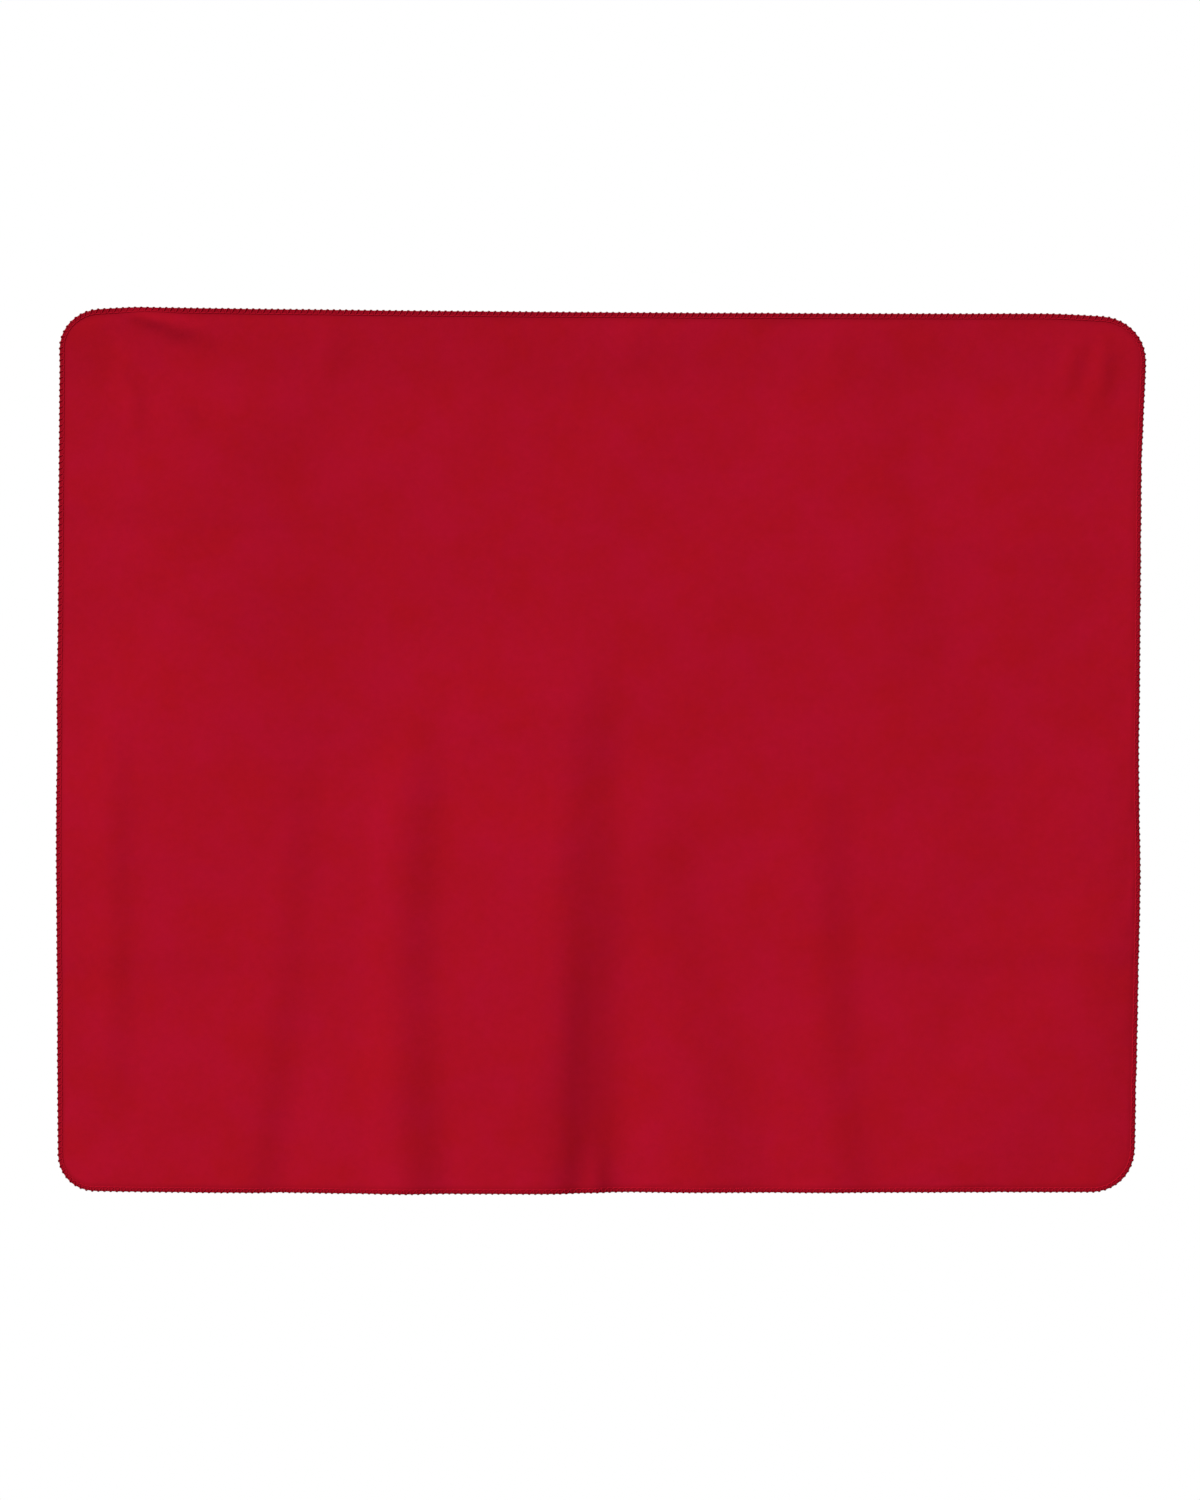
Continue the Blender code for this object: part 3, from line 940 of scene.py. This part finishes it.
# %% Build the white studio
WHITE = (1, 1, 1, 1)
WALL_LIGHT = 0.13
world = bpy.data.worlds.new("white studio")
bpy.context.scene.world = world
world.use_nodes = True
sky = world.node_tree
sky.nodes.clear()
seen = add_node(sky, "ShaderNodeLightPath").outputs["Is Camera Ray"]
walls = add_node(sky, "ShaderNodeBackground", {"Color": WHITE, "Strength": WALL_LIGHT}).outputs[0]
backdrop = add_node(sky, "ShaderNodeBackground", {"Color": WHITE, "Strength": 1.0}).outputs[0]
either = add_node(sky, "ShaderNodeMixShader", {0: seen, 1: walls, 2: backdrop}).outputs[0]
add_node(sky, "ShaderNodeOutputWorld", {"Surface": either})
bpy.context.scene.view_settings.view_transform = "Standard"
print(f"studio of {len(sky.nodes)} nodes")

# %% [markdown]
# ## Floor and camera
# The floor is pale matt paint, well below the hem. The camera stands square in front at
# the height of the blanket's middle, with a long lens, and is turned by less than half a
# degree, because the blanket hangs that much out of level.

# %% Lay the floor
FLOOR_HEIGHT = -2.9
FLOOR_SIZE = 3.0
deselect_all()
bpy.ops.mesh.primitive_grid_add(x_subdivisions=4, y_subdivisions=4, size=FLOOR_SIZE)
floor = bpy.context.object
floor.name = "studio_floor"
floor.location.z = FLOOR_HEIGHT
paint, tree = new_material("pale matt floor paint")
flat_paint = {"Base Color": linear("#DEDCD8"), "Roughness": 0.9}
finish_material(tree, add_node(tree, "ShaderNodeBsdfPrincipled", flat_paint))
floor.data.materials.append(paint)
print(f"floor {FLOOR_SIZE} m square, {-FLOOR_HEIGHT} m below the top edge")

# %% Place the camera
# The lens and the longer side of the sensor are in millimetres, and the roll in degrees.
# The view is FRAME_HEIGHT metres high, and its middle is CENTRE_DOWN below the top edge.
LENS = 85.0
SENSOR = 36.0
FRAME_HEIGHT = 2.7625
CENTRE_DOWN = 0.805
ROLL = 0.4
distance = FRAME_HEIGHT * LENS / SENSOR
lens_data = bpy.data.cameras.new("camera")
lens_data.lens = LENS
lens_data.sensor_width = SENSOR
camera = bpy.data.objects.new("camera", lens_data)
bpy.context.scene.collection.objects.link(camera)
bpy.context.scene.camera = camera
camera.location = (0.0, TOP_LEAN - distance, -CENTRE_DOWN)
camera.rotation_euler = (math.radians(90), math.radians(-ROLL), 0)
print(f"camera {distance:.2f} m in front of the flat part of the cloth")
